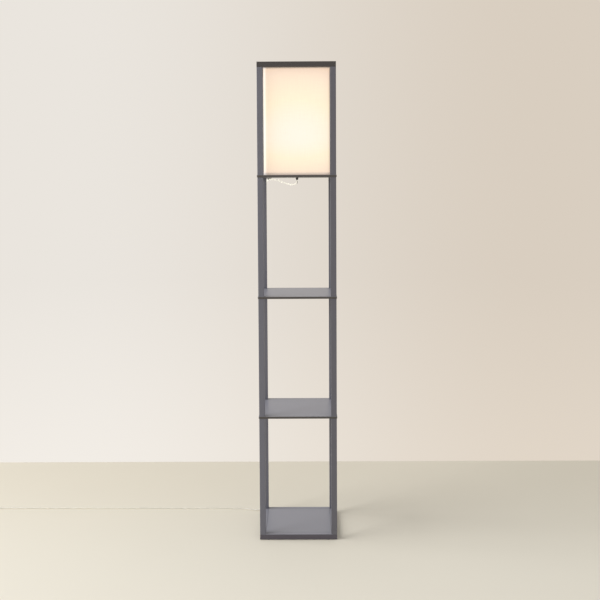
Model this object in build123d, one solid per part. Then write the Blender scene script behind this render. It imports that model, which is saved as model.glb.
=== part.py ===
"""Shelf floor lamp: a square tower of posts and plates with a shaded lamp in its head bay.

Millimetres. The origin is on the floor under the middle of the base, +Z is up, and the front faces -Y.
Each sub-part has its own function, which returns the named nodes that it makes.
"""

from build123d import *
from math import atan, ceil, cos, degrees, pi, radians, sin, tan
import os

# Flat sides that stand for a full circle
round_sides = 24  # lamp holder, its washers and the bulb
thin_sides = 12  # nipple, guide, bushing and feet
wire_sides = 8  # wires, cord and clips, dowels, screws, studs and the holes for them
bend_step = 18.0  # degrees that a faceted wire or cord turns at a time

# Frame: driving dimensions
frame_width = 260.0  # over the outside of the posts, the same both ways
post_side = 19.0
tier_post_length = 396.0  # each of the three open tiers
head_post_length = 353.0  # the tier round the shade
rail_height = 17.5
rail_easing = 0.8  # chamfer on the long edges of posts and rails
pad_thickness = 1.5
pad_radius = 7.5
pad_inset = 29.0  # from the outside of the frame to a pad's middle, along the rail

# Shelves and deck
plate_thickness = 7.5
plate_overhang = 1.5  # past the posts on every side
plate_corner_chamfer = 1.5
plate_edge_chamfer = 0.5

# Base panel, held by a tongue in the rails' grooves
panel_thickness = 9.0
panel_gap = 0.4
tongue_thickness = 3.0
tongue_length = 3.5
groove_clearance = 0.2

# Fasteners of the frame
dowel_radius = 2.5
dowel_length = 24.0
dowel_offset = 6.0  # each of a pair, to either side of the rail's middle
post_dowel_radius = 3.0
post_dowel_length = 24.0
dowel_clearance = 0.05
screw_radius = 2.5
screw_head_radius = 5.0
screw_length = 45.0
stud_radius = 3.0
stud_engagement = 20.0  # into the post on each side of a plate
stud_hole_clearance = 0.3
thread_clearance = 0.05
insert_radius = 4.5
insert_length = 14.0

# Shade
shade_gap = 1.5  # from the posts' inner faces
shade_wall = 0.8
shade_corner_radius = 8.0
shade_floor_gap = 0.3
shade_rise = 5.0  # how far the shade stands up inside the top frame
ring_wire_radius = 1.6
ring_clearance = 0.1
ring_inset = 5.0  # from the shade's edge to the ring's middle
bends_per_corner = 2
arm_wire_radius = 1.5
arm_bend_radius = 12.0
arm_flat = 14.0  # level stretch beside the fitter washer

# Lamp holder, from the deck up
nipple_radius = 5.0
nipple_bore_radius = 3.3
nipple_rise = 12.0
nipple_clearance = 0.1
washer_radius = 11.0
washer_thickness = 0.8
base_washer_radius = 13.0
base_washer_thickness = 1.2
nut_across_flats = 14.0
nut_thickness = 3.0
recess_depth = 4.0
recess_clearance = 0.6
cap_height = 24.0
cap_wall = 2.0
cap_floor = 3.0
cap_foot_radius = 12.0
holder_radius = 18.0
holder_floor = 4.0
holder_depth = 27.5  # from the holder's floor to its rim
shell_radius = 13.9
shell_wall = 0.5
shell_clearance = 0.15
shell_seat = 2.0
ledge_height = 5.0
ledge_radius = 22.0
ledge_thickness = 2.4
fitter_thickness = 1.5
fitter_outer_radius = 23.5
fitter_clearance = 0.4
ring_nut_radius = 23.5
ring_nut_height = 7.0
ring_nut_notches = 12
contact_thickness = 1.5

# Bulb
bulb_thread_radius = 13.1
bulb_cap_height = 26.0
bulb_radius = 31.0
bulb_centre_height = 91.0  # of the globe, from the tip of the cap
bulb_seam_radius = 28.6
bulb_bands = 7  # flat bands that make up the globe

# Pull switch
chain_offset = 24.0  # from the holder's axis, towards the front
chain_beads = 11
bead_radius = 1.2
chain_wire_radius = 0.5
chain_end_radius = 1.4
chain_end_length = 6.0
chain_drop = 20.0  # from the deck's underside to the chain's end
slider_radius = 2.4
slider_length = 5.0
slider_clearance = 0.25
switch_arm_wall = 1.5
switch_arm_foot = 2.0  # above the cap's foot
guide_bore_radius = 1.8
guide_sleeve_wall = 1.4
guide_sleeve_clearance = 0.1
guide_flange_radius = 4.7
guide_waist_radius = 4.2
guide_tip_radius = 2.5
guide_nose_height = 8.5

# Cord, a clear lead that is drawn round
cord_radius = 2.2
cord_floor_gap = 0.1
bushing_flange_radius = 4.6
bushing_tip_radius = 3.4
bushing_nose_height = 3.3
bushing_length = 5.0
bushing_clearance = 0.15
cord_in_cap = 6.0  # above the nipple's top

# Clips that hold the cord
clip_width = 18.0
clip_length = 8.0
clip_wall = 1.2
clip_clearance = 0.4
clip_mouth = 3.4
cord_plate_gap = 0.8  # between the cord and the shelves' edges
deck_clip_post_gap = 0.5  # between the clip under the deck and the rear left post
post_clip_drop = 72.0  # from the deck's underside to the first clip behind the post
post_clip_lowest = 70.0
post_clips = 6
clip_run = 18.0  # straight run of cord to either side of a clip's middle
cord_slack = 2.0  # how far the cord stands back between clips

# Route of the lead: shares of the way to the clip under the deck, and drops below the deck
sag_shape = [
    (0.0, 0.0, 11.0),
    (0.0266, 0.0226, 17.9),
    (0.0729, 0.0609, 22.0),
    (0.1734, 0.1443, 24.4),
    (0.3153, 0.2635, 22.4),
    (0.4778, 0.4, 15.7),
    (0.67, 0.5609, 9.0),
    (0.8571, 0.7087, 5.0),
]
deck_clip_run = 12.0  # straight run of cord from the clip's middle towards the sag
# Places from the line down the post's back, with drops below the deck
turn_down = [(15.7, 3.5, 5.6), (8.5, 10.0, 12.5), (2.0, 8.5, 25.5)]
# Places from the same line, with heights above the floor
turn_out = [(-6.5, 2.5, 22.0), (-27.5, 5.5, 4.0), (-60.5, 19.0, 2.3), (-101.5, 28.7, 2.3)]
floor_reach = 890.0  # straight run along the floor
floor_drift = 7.0
coil_lead_in = (-62.0, -3.8)

# Coil of the spare length, its tie and the plug
coil_start_radius = 31.0
coil_dip = 1.2  # how far the climb between the layers leans inwards
coil_pitch = 5.0  # between neighbouring turns, the same sideways and upwards
coil_turns_in = 1.5
coil_turns_out = 1.25
coil_exit = 5.0  # how far the last quarter turn opens outwards, clear of the plug
tie_wall = 0.6
tie_width = 6.0
tie_clearance = 0.35
relief_length = 22.0
relief_tip_radius = 3.4
relief_root_radius = 6.0
relief_grooves = 4
relief_groove_depth = 0.6
plug_width = 24.0
plug_length = 26.0
plug_corner_radius = 5.0
blade_spacing = 12.7
blade_width = 6.3
blade_thickness = 1.5
blade_length = 16.0

# Heights that follow
base_bottom = pad_thickness
base_top = base_bottom + rail_height
tier_pitch = tier_post_length + plate_thickness
lower_shelf_z = base_top + tier_post_length  # undersides of the plates
middle_shelf_z = lower_shelf_z + tier_pitch
deck_z = middle_shelf_z + tier_pitch
deck_top = deck_z + plate_thickness
head_top = deck_top + head_post_length
frame_top = head_top + rail_height
post_middle = (frame_width - post_side) / 2  # from the axis to a post's middle
post_inside = frame_width / 2 - post_side
corners = {
    "front_left": (-post_middle, -post_middle),
    "front_right": (post_middle, -post_middle),
    "rear_left": (-post_middle, post_middle),
    "rear_right": (post_middle, post_middle),
}

# Heights and sizes in the head bay
holder_foot = deck_top + base_washer_thickness
holder_base = holder_foot + cap_height
holder_inside = holder_base + holder_floor
holder_rim = holder_inside + holder_depth
ledge_top = holder_inside + ledge_height + ledge_thickness
recess_top = deck_z + recess_depth
nut_low = recess_top - washer_thickness - nut_thickness
nipple_bottom = nut_low - 0.3
nipple_top = holder_foot + nipple_rise
bulb_tip = holder_inside + contact_thickness
shade_bottom = deck_top + shade_floor_gap
shade_top = head_top + shade_rise
shade_side = 2 * (post_inside - shade_gap)
ring_half = shade_side / 2 - shade_wall - ring_clearance - ring_wire_radius
ring_corner = shade_corner_radius - shade_wall - ring_clearance - ring_wire_radius
arm_foot_z = holder_foot + switch_arm_foot
slider_top = holder_base - switch_arm_wall - slider_clearance
chain_top = slider_top - slider_length
chain_bottom = deck_z - chain_drop
guide_sleeve_radius = guide_bore_radius + guide_sleeve_wall

# Heights and places along the cord
cord_mouth = nipple_bottom - bushing_nose_height
clip_offset = plate_overhang + cord_plate_gap + cord_radius  # from a clip's seat to the cord
floor_z = cord_radius + cord_floor_gap
coil_low_z = tie_wall + tie_clearance + cord_radius
coil_high_z = coil_low_z + coil_pitch
cord_back_y = frame_width / 2 + clip_offset
deck_clip_x = -(post_inside - deck_clip_post_gap - clip_width / 2)
deck_clip_y = post_inside + clip_length / 2
post_clip_top = deck_z - post_clip_drop
post_clip_pitch = (post_clip_top - post_clip_lowest) / (post_clips - 1)


def block(x_span, y_span, z_span):
    """A box between two limits along each axis."""
    spans = (x_span, y_span, z_span)
    size = [high - low for low, high in spans]
    middle = [(high + low) / 2 for low, high in spans]
    return Pos(*middle) * Box(*size)


def rod(radius, x, y, z_low, z_high, sides=round_sides):
    """An upright many-sided rod between two heights."""
    return Pos(x, y, z_low) * extrude(RegularPolygon(radius, sides), z_high - z_low)


def tube(outer, inner, x, y, z_low, z_high, sides=round_sides):
    """An upright many-sided tube between two heights."""
    ring = RegularPolygon(outer, sides) - RegularPolygon(inner, sides)
    return Pos(x, y, z_low) * extrude(ring, z_high - z_low)


def closed_solid(polygons):
    """A solid from the corner points of each of its flat faces."""
    faces = [Face(Wire.make_polygon([Vector(*spot) for spot in polygon])) for polygon in polygons]
    return Solid(Shell(faces)).clean()


def turned(points, z=0.0, sides=round_sides):
    """A many-sided solid about +Z from a closed outline of (radius, height) points."""

    def spot(radius, height, k):
        angle = 2 * pi * (k % sides) / sides
        return (radius * cos(angle), radius * sin(angle), z + height)

    polygons = []
    for (r0, h0), (r1, h1) in zip(points, points[1:] + points[:1]):
        for k in range(sides):
            ring = [spot(r0, h0, k), spot(r0, h0, k + 1), spot(r1, h1, k + 1), spot(r1, h1, k)]
            if r0 == 0:
                ring = ring[1:]
            if r1 == 0:
                ring = ring[:-1]
            if len(ring) > 2:
                polygons.append(ring)
    return closed_solid(polygons)


def stations(path):
    """Points along a path of lines and arcs, close enough on the arcs to turn a little at a time."""
    shares = [0.0]
    length = 0.0
    for edge in path.order_edges():
        turn = (edge % 0).get_angle(edge % 1)
        count = max(1, ceil(turn / bend_step))
        shares += [(length + edge.length * (k + 1) / count) / path.length for k in range(count)]
        length += edge.length
    return [path @ min(share, 1.0) for share in shares]


def mitred_wire(points, radius, sides=wire_sides, ring=False):
    """A many-sided wire or cord through points, mitred at each; a ring comes back to its first point."""
    runs = [(there - here).normalized() for here, there in zip(points, points[1:])]
    planes = [runs[0]] + [before + after for before, after in zip(runs, runs[1:])] + [runs[-1]]
    section = Plane(origin=points[0], z_dir=runs[0]) * RegularPolygon(radius, sides)
    sections = [[Vector(*vertex) for vertex in section.face().outer_wire().vertices()]]
    for run, point, plane in zip(runs, points[1:], planes[1:]):
        reach = run.dot(plane)
        sections.append([spot + run * ((point - spot).dot(plane) / reach) for spot in sections[-1]])
    polygons = [] if ring else [sections[0], sections[-1]]
    if ring:
        sections[-1] = sections[0]
    for low, high in zip(sections, sections[1:]):
        for k in range(sides):
            j = (k + 1) % sides
            polygons.append([low[k], low[j], high[j], high[k]])
    return closed_solid(polygons)


def at_corners(make):
    """Four copies of a solid, made for each corner's place."""
    return Compound(children=[make(x, y) for x, y in corners.values()])


def eased(solid, axis):
    """The solid with its edges along an axis chamfered."""
    return chamfer(solid.edges().filter_by(axis), rail_easing)


# Frame


def post(x, y, z_low, z_high, lower_hole, upper_hole):
    """A square post with a (radius, depth) hole in each end."""
    half = post_side / 2
    solid = eased(block((x - half, x + half), (y - half, y + half), (z_low, z_high)), Axis.Z)
    solid -= rod(lower_hole[0], x, y, z_low, z_low + lower_hole[1], wire_sides)
    solid -= rod(upper_hole[0], x, y, z_high - upper_hole[1], z_high, wire_sides)
    return solid


def posts():
    """The sixteen posts, four to a tier."""
    screw_hole = (screw_radius + thread_clearance, screw_length - rail_height)
    insert_hole = (insert_radius + thread_clearance, stud_engagement)
    stud_hole = (stud_radius + thread_clearance, stud_engagement)
    dowel_hole = (post_dowel_radius + dowel_clearance, post_dowel_length / 2)
    tiers = {
        "lower_post": (base_top, lower_shelf_z, screw_hole, stud_hole),
        "middle_post": (lower_shelf_z + plate_thickness, middle_shelf_z, insert_hole, stud_hole),
        "upper_post": (middle_shelf_z + plate_thickness, deck_z, insert_hole, stud_hole),
        "head_post": (deck_top, head_top, insert_hole, dowel_hole),
    }
    return {
        f"{tier}_{corner}": post(x, y, *ends)
        for tier, ends in tiers.items()
        for corner, (x, y) in corners.items()
    }


def rail_dowels(z, radius=dowel_radius):
    """Pairs of level dowels of a radius across the four corners of a rail frame."""
    pin = Rot(90, 0, 0) * extrude(RegularPolygon(radius, wire_sides), dowel_length / 2, both=True)
    pins = []
    for side in (-1, 1):
        for end in (-1, 1):
            for shift in (-dowel_offset, dowel_offset):
                pins.append(Pos(side * post_middle + shift, end * post_inside, z) * pin)
    return pins


def rail_frame(prefix, z, dowel_z):
    """Four butted rails: front and rear run the full width, left and right between them."""
    span = (z, z + rail_height)
    outer = frame_width / 2
    shapes = {
        "front": eased(block((-outer, outer), (-outer, -post_inside), span), Axis.X),
        "rear": eased(block((-outer, outer), (post_inside, outer), span), Axis.X),
        "left": eased(block((-outer, -post_inside), (-post_inside, post_inside), span), Axis.Y),
        "right": eased(block((post_inside, outer), (-post_inside, post_inside), span), Axis.Y),
    }
    holes = rail_dowels(dowel_z, dowel_radius + dowel_clearance)
    return {f"{prefix}_rail_{side}": shape - holes for side, shape in shapes.items()}


def base_screw(x, y):
    """A countersunk screw from under the base frame up into a lower post."""
    head_height = screw_head_radius - screw_radius
    outline = [
        (0, 0),
        (screw_head_radius, 0),
        (screw_radius, head_height),
        (screw_radius, screw_length),
        (0, screw_length),
    ]
    return Pos(x, y, 0) * turned(outline, base_bottom, wire_sides)


def screw_hole(x, y):
    """The countersunk hole for a base screw."""
    wide = screw_head_radius + thread_clearance
    narrow = screw_radius + thread_clearance
    outline = [(0, 0), (wide, 0), (narrow, wide - narrow), (narrow, rail_height), (0, rail_height)]
    return Pos(x, y, 0) * turned(outline, base_bottom, wire_sides)


def base():
    """Base frame with its grooved rails, inset panel, screws, dowels and pads."""
    panel_low = base_top - panel_thickness
    panel_half = post_inside - panel_gap
    tongue_half = post_inside + tongue_length
    tongue_z = (base_top + panel_low) / 2
    tongue_span = (tongue_z - tongue_thickness / 2, tongue_z + tongue_thickness / 2)
    groove_half = tongue_half + groove_clearance
    groove_span = (tongue_span[0] - groove_clearance, tongue_span[1] + groove_clearance)
    groove = block((-groove_half, groove_half), (-groove_half, groove_half), groove_span)
    dowel_z = (base_bottom + panel_low) / 2 + dowel_radius / 2
    nodes = rail_frame("base", base_bottom, dowel_z)
    holes = [screw_hole(x, y) for x, y in corners.values()]
    nodes = {name: rail - groove - holes for name, rail in nodes.items()}
    board = block((-panel_half, panel_half), (-panel_half, panel_half), (panel_low, base_top))
    board = chamfer(board.edges().group_by(Axis.Z)[-1], plate_edge_chamfer)
    tongue = block((-tongue_half, tongue_half), (-tongue_half, tongue_half), tongue_span)
    nodes["base_panel"] = board + tongue
    nodes["base_dowels"] = Compound(children=rail_dowels(dowel_z))
    nodes["base_screws"] = at_corners(base_screw)
    pad_x = frame_width / 2 - pad_inset
    spots = [(x, y) for x in (-pad_x, pad_x) for y in (-post_middle, post_middle)]
    pads = [rod(pad_radius, x, y, 0, pad_thickness, thin_sides) for x, y in spots]
    nodes["foot_pads"] = Compound(children=pads)
    return nodes


def top_frame():
    """Open top frame, pegged to the head posts."""
    nodes = rail_frame("top", head_top, head_top + rail_height / 2)
    half = post_dowel_length / 2
    hole_radius = post_dowel_radius + dowel_clearance
    span = (head_top, head_top + half)
    holes = [rod(hole_radius, x, y, *span, wire_sides) for x, y in corners.values()]
    nodes = {name: rail - holes for name, rail in nodes.items()}
    nodes["top_rail_dowels"] = Compound(children=rail_dowels(head_top + rail_height / 2))
    nodes["top_post_dowels"] = at_corners(
        lambda x, y: rod(post_dowel_radius, x, y, head_top - half, head_top + half, wire_sides)
    )
    return nodes


def plate(z):
    """A square shelf with eased edges and a stud hole at each post."""
    half = frame_width / 2 + plate_overhang
    board = block((-half, half), (-half, half), (z, z + plate_thickness))
    board = chamfer(board.edges().filter_by(Axis.Z), plate_corner_chamfer)
    rims = board.edges().group_by(Axis.Z)
    board = chamfer(rims[0] + rims[-1], plate_edge_chamfer)
    hole_radius = stud_radius + stud_hole_clearance
    span = (z, z + plate_thickness)
    return board - [rod(hole_radius, x, y, *span, wire_sides) for x, y in corners.values()]


def deck():
    """The top plate, with the nipple's recessed hole and the chain guide's hole."""
    board = plate(deck_z)
    board -= rod(nipple_radius + nipple_clearance, 0, 0, deck_z, deck_top, thin_sides)
    board -= rod(washer_radius + recess_clearance, 0, 0, deck_z, recess_top)
    guide_hole = guide_sleeve_radius + guide_sleeve_clearance
    board -= rod(guide_hole, 0, -chain_offset, deck_z, deck_top, thin_sides)
    return board


def studs():
    """Studs through the plates and the inserts that they screw up into."""
    plates = (lower_shelf_z, middle_shelf_z, deck_z)
    rods = []
    sleeves = []
    for z in plates:
        top = z + plate_thickness
        for x, y in corners.values():
            span = (z - stud_engagement, top + stud_engagement)
            rods.append(rod(stud_radius, x, y, *span, wire_sides))
            bore = stud_radius + thread_clearance
            sleeves.append(tube(insert_radius, bore, x, y, top, top + insert_length, wire_sides))
    return {"post_studs": Compound(children=rods), "post_inserts": Compound(children=sleeves)}


# Shade


def square_ring(z):
    """A wire bent into a square with round corners."""
    reach = ring_half - ring_corner
    points = [Vector(0, -ring_half, z)]
    for quarter in range(4):
        for step in range(bends_per_corner + 1):
            angle = radians(90 * quarter - 90 + 90 * step / bends_per_corner)
            middle = Vector(reach, -reach, 0).rotate(Axis.Z, 90 * quarter)
            spoke = Vector(cos(angle), sin(angle), 0) * ring_corner
            points.append(Vector(0, 0, z) + middle + spoke)
    return mitred_wire(points + points[:1], ring_wire_radius, ring=True)


def carrier_arm(angle, ring_z, washer_z):
    """A wire arm from a corner of the lower ring up to the fitter washer."""
    corner_reach = (ring_half - ring_corner) * 2**0.5 + ring_corner
    inner = (fitter_outer_radius + holder_radius) / 2
    knee = inner + arm_flat
    spots = [(corner_reach, ring_z), (knee, washer_z), (inner, washer_z)]
    points = [(s * cos(radians(angle)), s * sin(radians(angle)), z) for s, z in spots]
    path = FilletPolyline(*points, radius=arm_bend_radius)
    return mitred_wire(stations(path), arm_wire_radius)


def shade():
    """Fabric shade, its top ring, and the lower ring whose arms hang it on the lamp holder."""
    height = shade_top - shade_bottom
    inside = shade_side - 2 * shade_wall
    outer = RectangleRounded(shade_side, shade_side, shade_corner_radius)
    inner = RectangleRounded(inside, inside, shade_corner_radius - shade_wall)
    fabric = Pos(0, 0, shade_bottom) * extrude(outer - inner, height)
    low_ring_z = shade_bottom + ring_inset
    washer_middle = ledge_top + fitter_thickness / 2
    carrier = square_ring(low_ring_z)
    for angle in (45, 135, 225, 315):
        carrier += carrier_arm(angle, low_ring_z, washer_middle)
    bore = holder_radius + fitter_clearance
    carrier += rod(fitter_outer_radius, 0, 0, ledge_top, ledge_top + fitter_thickness)
    carrier -= rod(bore, 0, 0, ledge_top - 1, ledge_top + fitter_thickness + 1)
    carrier -= rod(fitter_outer_radius + 1, 0, 0, ledge_top - fitter_thickness, ledge_top)
    above = ledge_top + fitter_thickness
    carrier -= rod(fitter_outer_radius + 1, 0, 0, above, above + fitter_thickness)
    return {
        "shade_fabric": fabric,
        "shade_top_ring": square_ring(shade_top - ring_inset),
        "shade_carrier": carrier,
    }


# Lamp holder and bulb


def holder_mounting():
    """Threaded nipple through the deck with its washers and recessed nut."""
    washer_low = recess_top - washer_thickness
    bore = nipple_radius + nipple_clearance
    nut = extrude(RegularPolygon(nut_across_flats / 2, 6, major_radius=False), nut_thickness)
    thread = nipple_radius + thread_clearance
    nut = Pos(0, 0, nut_low) * nut - rod(thread, 0, 0, nut_low, washer_low, thin_sides)
    length = (nipple_bottom, nipple_top)
    return {
        "threaded_nipple": tube(nipple_radius, nipple_bore_radius, 0, 0, *length, thin_sides),
        "nipple_nut": nut,
        "nipple_washers": Compound(
            children=[
                tube(washer_radius, bore, 0, 0, washer_low, recess_top, thin_sides),
                tube(base_washer_radius, bore, 0, 0, deck_top, holder_foot, thin_sides),
            ]
        ),
    }


def holder_cap():
    """Bowl-shaped lower cap with the pull switch's arm on its front."""
    flare = holder_radius - cap_foot_radius
    neck = nipple_radius + thread_clearance
    inside = holder_radius - cap_wall
    bowl = turned(
        [
            (neck, 0),
            (cap_foot_radius, 0),
            (holder_radius, flare * 1.5),
            (holder_radius, cap_height),
            (inside, cap_height),
            (inside, flare * 1.5 + cap_wall / 2),
            (cap_foot_radius - cap_wall, cap_floor),
            (neck, cap_floor),
        ],
        holder_foot,
    )
    arm_bore = slider_radius + slider_clearance
    arm_radius = arm_bore + switch_arm_wall
    arm_top = holder_foot + cap_height
    floor_top = arm_foot_z + switch_arm_wall
    web_z = (holder_foot + flare * 1.5, arm_top)
    arm = rod(arm_radius, 0, -chain_offset, arm_foot_z, arm_top, thin_sides)
    web_y = (-chain_offset, -holder_radius + cap_wall / 2)
    arm += block((-arm_radius / 2, arm_radius / 2), web_y, web_z)
    arm -= rod(arm_bore, 0, -chain_offset, floor_top, arm_top - switch_arm_wall, thin_sides)
    arm -= rod(guide_bore_radius, 0, -chain_offset, arm_foot_z, floor_top, thin_sides)
    return bowl + arm


def holder_body():
    """Cylindrical holder with a ledge for the shade and a bore for the screw shell."""
    bore = shell_radius + shell_clearance
    floor = holder_floor
    ledge_low = floor + ledge_height
    ledge_high = ledge_low + ledge_thickness
    rim = floor + holder_depth
    return turned(
        [
            (0, 0),
            (holder_radius, 0),
            (holder_radius, ledge_low),
            (ledge_radius, ledge_low),
            (ledge_radius, ledge_high),
            (holder_radius, ledge_high),
            (holder_radius, rim),
            (bore, rim),
            (bore, floor),
            (0, floor),
        ],
        holder_base,
    )


def ring_nut():
    """Notched ring nut that clamps the shade's washer on the ledge."""
    low = ledge_top + fitter_thickness
    nut = tube(ring_nut_radius, holder_radius + thread_clearance, 0, 0, low, low + ring_nut_height)
    notch_radius = ring_nut_radius * pi / ring_nut_notches / 3
    notch = rod(notch_radius, ring_nut_radius, 0, low, low + ring_nut_height, wire_sides)
    turn = 360 / ring_nut_notches
    return nut - [Rot(0, 0, turn * k) * notch for k in range(ring_nut_notches)]


def holder():
    """Lamp holder: mounting, cap, body, ring nut and the metal parts inside."""
    shell_low = holder_inside + shell_seat
    nodes = holder_mounting()
    nodes["holder_cap"] = holder_cap()
    nodes["holder_body"] = holder_body()
    nodes["holder_ring_nut"] = ring_nut()
    nodes["screw_shell"] = tube(
        shell_radius, shell_radius - shell_wall, 0, 0, shell_low, holder_rim
    )
    nodes["centre_contact"] = rod(shell_radius / 3, 0, 0, holder_inside, bulb_tip)
    return nodes


def bulb():
    """Bulb: metal screw cap, plastic body and globe."""
    tip_radius = shell_radius / 3
    shoulder = bulb_cap_height / 4
    cap = turned(
        [
            (0, 0),
            (tip_radius, 0),
            (bulb_thread_radius * 0.8, shoulder * 0.6),
            (bulb_thread_radius, shoulder),
            (bulb_thread_radius, bulb_cap_height),
            (0, bulb_cap_height),
        ],
        bulb_tip,
    )
    seam = bulb_centre_height - (bulb_radius**2 - bulb_seam_radius**2) ** 0.5
    flare = bulb_seam_radius - bulb_thread_radius
    rise = seam - bulb_cap_height
    sides = [(0.08, 0.2), (0.36, 0.5), (0.7, 0.76), (1.0, 1.0)]
    body = [(0, bulb_cap_height), (bulb_thread_radius, bulb_cap_height)]
    body += [(bulb_thread_radius + flare * out, bulb_cap_height + rise * up) for out, up in sides]
    body += [(0, seam)]
    seam_angle = -degrees(atan((bulb_centre_height - seam) / bulb_seam_radius))
    steps = [seam_angle + (90 - seam_angle) * k / bulb_bands for k in range(bulb_bands)]
    globe = [(0, seam)]
    for angle in steps:
        rise = bulb_radius * sin(radians(angle))
        globe.append((bulb_radius * cos(radians(angle)), bulb_centre_height + rise))
    globe.append((0, bulb_centre_height + bulb_radius))
    return {
        "bulb_cap": cap,
        "bulb_body": turned(body, bulb_tip),
        "bulb_globe": turned(globe, bulb_tip),
    }


# Pull switch


def pull_switch():
    """Beaded chain with its crimped end, the slider that it draws down, and its guide."""
    y = -chain_offset
    end_top = chain_bottom + chain_end_length
    pitch = (chain_top - end_top) / chain_beads
    gap = pitch - 2 * bead_radius
    outline = [(0, chain_bottom), (chain_end_radius, chain_bottom), (chain_end_radius, end_top)]
    for k in range(chain_beads):
        low = end_top + k * pitch + gap / 2
        outline.append((chain_wire_radius, low))
        outline.append((bead_radius, low + bead_radius * 0.6))
        outline.append((bead_radius, low + bead_radius * 1.4))
        outline.append((chain_wire_radius, low + bead_radius * 2))
    outline += [(chain_wire_radius, chain_top), (0, chain_top)]
    nose_low = -guide_nose_height
    guide = turned(
        [
            (guide_bore_radius, nose_low),
            (guide_tip_radius, nose_low),
            (guide_waist_radius, nose_low / 2),
            (guide_flange_radius, 0),
            (guide_sleeve_radius, 0),
            (guide_sleeve_radius, plate_thickness),
            (guide_bore_radius, plate_thickness),
        ],
        deck_z,
        thin_sides,
    )
    return {
        "pull_chain": Pos(0, y, 0) * turned(outline, sides=wire_sides),
        "switch_slider": rod(slider_radius, 0, y, chain_top, slider_top, thin_sides),
        "chain_guide": Pos(0, y, 0) * guide,
    }


# Cord


def cord_route():
    """The lead's points, from the bushing to the start of the coil."""
    low_deck = deck_z - clip_offset
    sag = [(0, 0, cord_mouth)]
    sag += [(deck_clip_x * out, deck_clip_y * back, deck_z - down) for out, back, down in sag_shape]
    sag.append((deck_clip_x, deck_clip_y - deck_clip_run, low_deck))
    sag.append((deck_clip_x, deck_clip_y + deck_clip_run - 1.5, low_deck))
    sag += [(-post_middle + x, cord_back_y + y, deck_z - down) for x, y, down in turn_down]
    drop = []
    for k in range(post_clips):
        clip_z = post_clip_top - k * post_clip_pitch
        free = (post_clip_pitch - 2 * clip_run) / 3
        drop.append((-post_middle, cord_back_y, clip_z + clip_run))
        drop.append((-post_middle, cord_back_y, clip_z - clip_run))
        if k < post_clips - 1:
            slack_y = cord_back_y + cord_slack
            drop.append((-post_middle, slack_y, clip_z - clip_run - free))
            drop.append((-post_middle, slack_y, clip_z - clip_run - 2 * free))
    floor = [(-post_middle + x, cord_back_y + y, max(z, floor_z)) for x, y, z in turn_out]
    floor.append((floor[-1][0] - floor_reach, floor[-1][1] + floor_drift, coil_low_z))
    floor.append((floor[-1][0] + coil_lead_in[0], floor[-1][1] + coil_lead_in[1], coil_low_z))
    return [Vector(*point) for point in sag + drop + floor]


def fillet_radii(points):
    """A radius for each inner point, as large as the shorter run beside it allows."""
    radii = []
    for before, here, after in zip(points, points[1:], points[2:]):
        run_in = here - before
        run_out = after - here
        turn = radians(run_in.get_angle(run_out))
        radii.append(0.45 * min(run_in.length, run_out.length) / tan(turn / 2))
    return radii


def coil_places():
    """Places and directions along the coil, a quarter turn apart, about its own axis."""
    drift = atan(coil_pitch / (2 * pi * coil_start_radius))
    start = pi / 2 - drift
    climb = start + 2 * pi * coil_turns_in
    landing = climb + pi
    end = landing + 2 * pi * coil_turns_out
    small = coil_start_radius - coil_pitch * coil_turns_in

    def place(angle):
        if angle <= climb:
            radius = coil_start_radius - coil_pitch * (angle - start) / (2 * pi)
            height = coil_low_z
        elif angle < landing:
            part = (angle - climb) / pi
            ease = 16 * (part * (1 - part)) ** 2
            lean = coil_pitch / 4 * (1 - 2 * part) * part * (1 - part)
            radius = small - coil_dip * ease - lean
            height = coil_low_z + coil_pitch * part**2 * (3 - 2 * part)
        else:
            opening = max(0, 1 - (end - angle) / (pi / 2))
            radius = small + coil_pitch * (angle - landing) / (2 * pi) + coil_exit * opening**2
            height = coil_high_z
        return Vector(radius * cos(angle), radius * sin(angle), height)

    count = round((end - start) / (pi / 2))
    angles = [start + (end - start) * k / count for k in range(count + 1)]
    step = 1e-4
    places = []
    for angle in angles:
        low = max(angle - step, start)
        high = min(angle + step, end)
        places.append((place(angle), (place(high) - place(low)).normalized()))
    return places


def biarc(start, start_way, end, end_way):
    """Two arcs that leave one place and reach the next along the given directions."""
    across = end - start
    both = start_way + end_way
    along = across.dot(both)
    spare = 2 * (1 - start_way.dot(end_way))
    reach = (-along + (along**2 + spare * across.dot(across)) ** 0.5) / spare
    joint = ((start + start_way * reach) + (end - end_way * reach)) / 2
    first = TangentArc(start, joint, tangent=start_way)
    return [first, TangentArc(joint, end, tangent=first % 1)]


def coil_path():
    """The coil's centreline as arcs, with a straight end a cord's diameter long each way."""
    places = coil_places()
    straight = 2 * cord_radius
    first, way = places[0]
    edges = [Line(first - way * straight, first)]
    for (here, way_here), (there, way_there) in zip(places, places[1:]):
        edges += biarc(here, way_here, there, way_there)
    last, way = places[-1]
    edges.append(Line(last, last + way * straight))
    return edges, places


def least_gap(edges):
    """The least gap between the coil's turns, measured on points along it."""
    samples = []
    length = 0.0
    for edge in edges:
        for k in range(12):
            samples.append((length + edge.length * k / 12, edge @ (k / 12)))
        length += edge.length
    nearest = min(
        (here - there).length
        for i, (s, here) in enumerate(samples)
        for t, there in samples[i + 1 :]
        if t - s > 40
    )
    return nearest - 2 * cord_radius


def tube_along(path, section):
    """A section swept along a path from its first end."""
    return sweep(Plane(origin=path @ 0, z_dir=path % 0) * section, path)


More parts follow.
